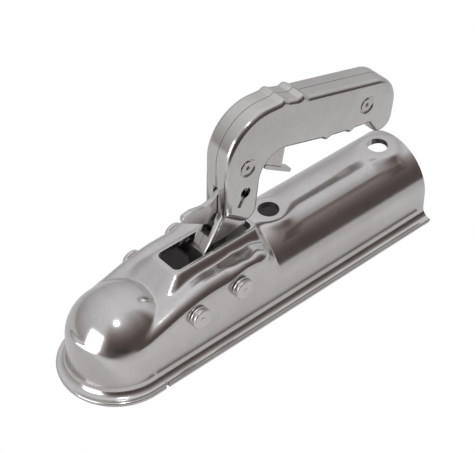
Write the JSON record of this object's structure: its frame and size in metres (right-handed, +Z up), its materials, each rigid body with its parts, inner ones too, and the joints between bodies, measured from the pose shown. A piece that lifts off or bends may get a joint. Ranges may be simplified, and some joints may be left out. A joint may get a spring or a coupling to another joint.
{
  "type": "trailer coupling head",
  "caption": "Pressed steel coupling head for a braked or unbraked trailer: domed ball socket, saddle for a round drawbar tube, lift-up locking handle with safety catch, and swinging ball jaw",
  "frame": {"origin": "centre of the tow ball when the head is coupled, which is the centre of the domed socket", "axes": "+X runs back along the drawbar, +Y is the head's right side seen from behind it looking forwards, +Z is up"},
  "size_m": [0.2546, 0.0706, 0.1331],
  "materials": {
    "pressed_housing": "satin zinc plating on pressed steel",
    "pressed_handle": "satin zinc plating on pressed steel",
    "pin_steel": "zinc-plated turned steel",
    "turned_steel": "zinc-plated turned steel",
    "catch_plate": "zinc-plated stamped steel",
    "spring_wire": "drawn spring wire",
    "cast_steel": "zinc-plated casting"
  },
  "bodies": {
    "housing_body": {"housing": "pressed_housing", "jaw_pin": "pin_steel", "jaw_pin_washers": "pin_steel", "jaw_spacers": "turned_steel", "jaw_spring": "spring_wire", "lever_pin": "pin_steel", "lever_pin_washers": "pin_steel", "lever_spacers": "turned_steel"},
    "handle_body": {"handle_shell_left": "pressed_handle", "handle_shell_right": "pressed_handle", "grip_spacer": "turned_steel", "grip_rivet": "turned_steel", "catch_rivet": "turned_steel", "catch_spacers": "turned_steel", "catch_spring": "spring_wire", "cam_block": "cast_steel", "cam_rivets": "turned_steel"},
    "catch_body": {"catch_lever": "catch_plate"},
    "jaw_body": {"ball_jaw": "cast_steel"}
  },
  "joints": [
    {"name": "handle_lift", "type": "hinge", "parent": "housing_body", "child": "handle_body", "pos_m": [0.0677, 0, 0.0143], "axis": [0, -1, 0], "range_deg": [0, 38]},
    {"name": "catch_squeeze", "type": "hinge", "parent": "handle_body", "child": "catch_body", "pos_m": [0.089, 0, 0.0775], "axis": [0, -1, 0], "range_deg": [0, 10], "stiffness_Nm_per_rad": 0.4, "springref_deg": -28.65},
    {"name": "jaw_swing", "type": "hinge", "parent": "housing_body", "child": "jaw_body", "pos_m": [0.0364, 0, 0.0116], "axis": [0, -1, 0], "range_deg": [0, 22]}
  ],
  "couplings": [
    {"joint": "jaw_swing", "follows": "handle_lift", "ratio": 0.5788}
  ]
}
